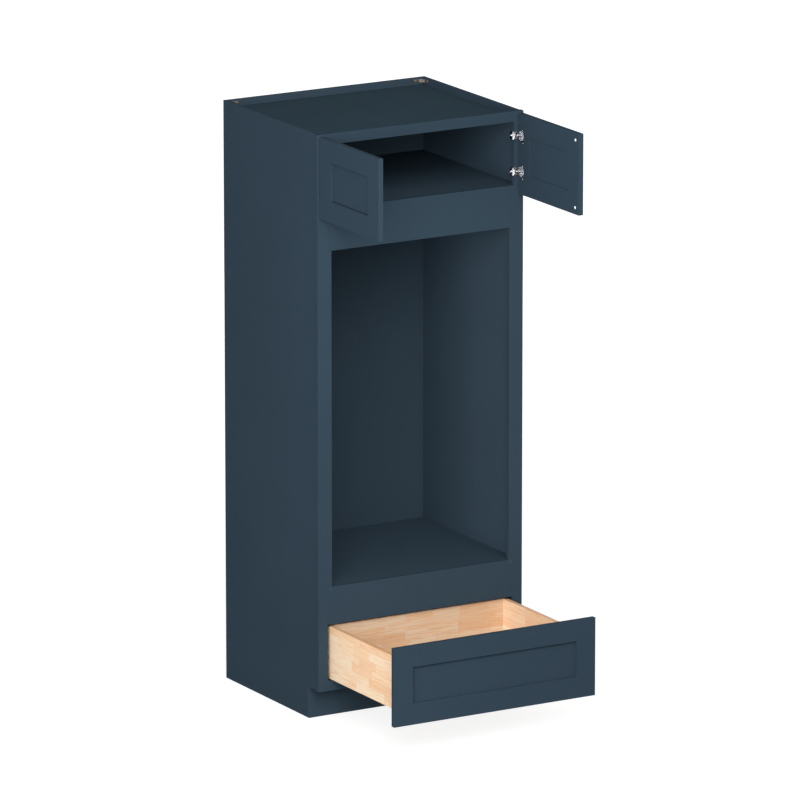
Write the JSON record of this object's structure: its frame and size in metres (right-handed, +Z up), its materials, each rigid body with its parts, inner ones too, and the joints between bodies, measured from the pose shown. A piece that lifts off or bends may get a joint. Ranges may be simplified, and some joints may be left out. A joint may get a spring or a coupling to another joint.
{
  "type": "microwave cabinet",
  "caption": "Tall painted kitchen cabinet for a built-in microwave and oven: framed doors above, a wide open bay in the middle and a deep wooden drawer below.",
  "frame": {"origin": "floor level, in the middle of the cabinet's width, in the plane of its back, which stands against the wall", "axes": "+Z up the height, +Y back into the wall, +X to the right as one faces the front"},
  "size_m": [0.8382, 1.2044, 2.1336],
  "materials": {
    "blue_paint": "satin dark blue-grey paint on hardwood and fibreboard",
    "inside_paint": "satin dark blue-grey paint on plywood panels",
    "light_wood": "clear-lacquered light wood, glued from short staves",
    "light_wood_bottom": "clear-lacquered light plywood",
    "nickel_steel": "nickel-plated or zinc-plated steel",
    "clear_rubber": "soft translucent bumper",
    "grey_plastic": "moulded grey plastic"
  },
  "bodies": {
    "case": {"left_side_panel": "blue_paint", "right_side_panel": "blue_paint", "back_panel": "inside_paint", "top_panel": "inside_paint", "upper_deck": "inside_paint", "oven_deck": "inside_paint", "bottom_deck": "inside_paint", "toe_kick_board": "blue_paint", "left_frame_stile": "blue_paint", "right_frame_stile": "blue_paint", "top_frame_rail": "blue_paint", "upper_frame_rail": "blue_paint", "lower_frame_rail": "blue_paint", "bottom_frame_rail": "blue_paint", "left_bay_strip": "blue_paint", "right_bay_strip": "blue_paint", "hanging_rail": "inside_paint", "left_oven_deck_cleat": "inside_paint", "right_oven_deck_cleat": "inside_paint", "corner_braces": "nickel_steel", "cabinet_screws": "nickel_steel", "left_hinge_arms": "nickel_steel", "right_hinge_arms": "nickel_steel", "left_slide_rail": "nickel_steel", "right_slide_rail": "nickel_steel"},
    "left_door": {"left_door_hinge_stile": "blue_paint", "left_door_lock_stile": "blue_paint", "left_door_top_rail": "blue_paint", "left_door_bottom_rail": "blue_paint", "left_door_panel": "blue_paint", "left_door_bumpers": "clear_rubber", "left_hinge_cups": "nickel_steel", "left_door_screws": "nickel_steel"},
    "right_door": {"right_door_hinge_stile": "blue_paint", "right_door_lock_stile": "blue_paint", "right_door_top_rail": "blue_paint", "right_door_bottom_rail": "blue_paint", "right_door_panel": "blue_paint", "right_door_bumpers": "clear_rubber", "right_hinge_cups": "nickel_steel", "right_door_screws": "nickel_steel"},
    "drawer": {"drawer_front_left_stile": "blue_paint", "drawer_front_right_stile": "blue_paint", "drawer_front_top_rail": "blue_paint", "drawer_front_bottom_rail": "blue_paint", "drawer_front_panel": "blue_paint", "drawer_bumpers": "clear_rubber", "drawer_left_side": "light_wood", "drawer_right_side": "light_wood", "drawer_box_front": "light_wood", "drawer_box_back": "light_wood", "drawer_bottom": "light_wood_bottom", "drawer_screws": "nickel_steel", "drawer_locks": "grey_plastic", "left_slide_runner": "nickel_steel", "right_slide_runner": "nickel_steel"},
    "left_slide_middle": {"left_slide_middle": "nickel_steel"},
    "right_slide_middle": {"right_slide_middle": "nickel_steel"},
    "left_lock_lever": {"left_lock_lever": "grey_plastic"},
    "right_lock_lever": {"right_lock_lever": "grey_plastic"}
  },
  "joints": [
    {"name": "left_door_hinge", "type": "hinge", "parent": "case", "child": "left_door", "pos_m": [-0.4047, -0.6982, 1.9812], "axis": [0, 0, -1], "range_deg": [-90, 15]},
    {"name": "right_door_hinge", "type": "hinge", "parent": "case", "child": "right_door", "pos_m": [0.4047, -0.6982, 1.9812], "axis": [0, 0, 1], "range_deg": [-90, 15]},
    {"name": "drawer_slide", "type": "slide", "parent": "case", "child": "drawer", "axis": [0, -1, 0], "range_m": [-0.4972, 0.0358]},
    {"name": "left_middle_slide", "type": "slide", "parent": "case", "child": "left_slide_middle", "axis": [0, -1, 0], "range_m": [-0.2486, 0.0179]},
    {"name": "right_middle_slide", "type": "slide", "parent": "case", "child": "right_slide_middle", "axis": [0, -1, 0], "range_m": [-0.2486, 0.0179]},
    {"name": "left_lever_pivot", "type": "hinge", "parent": "drawer", "child": "left_lock_lever", "pos_m": [-0.3224, -1.1465, 0.1642], "axis": [0, 0, -1], "range_deg": [0, 12], "stiffness_Nm_per_rad": 0.05, "springref_deg": -5.73},
    {"name": "right_lever_pivot", "type": "hinge", "parent": "drawer", "child": "right_lock_lever", "pos_m": [0.3224, -1.1465, 0.1642], "axis": [0, 0, 1], "range_deg": [0, 12], "stiffness_Nm_per_rad": 0.05, "springref_deg": -5.73}
  ],
  "couplings": [
    {"joint": "left_middle_slide", "follows": "drawer_slide", "ratio": 0.5},
    {"joint": "right_middle_slide", "follows": "drawer_slide", "ratio": 0.5}
  ]
}
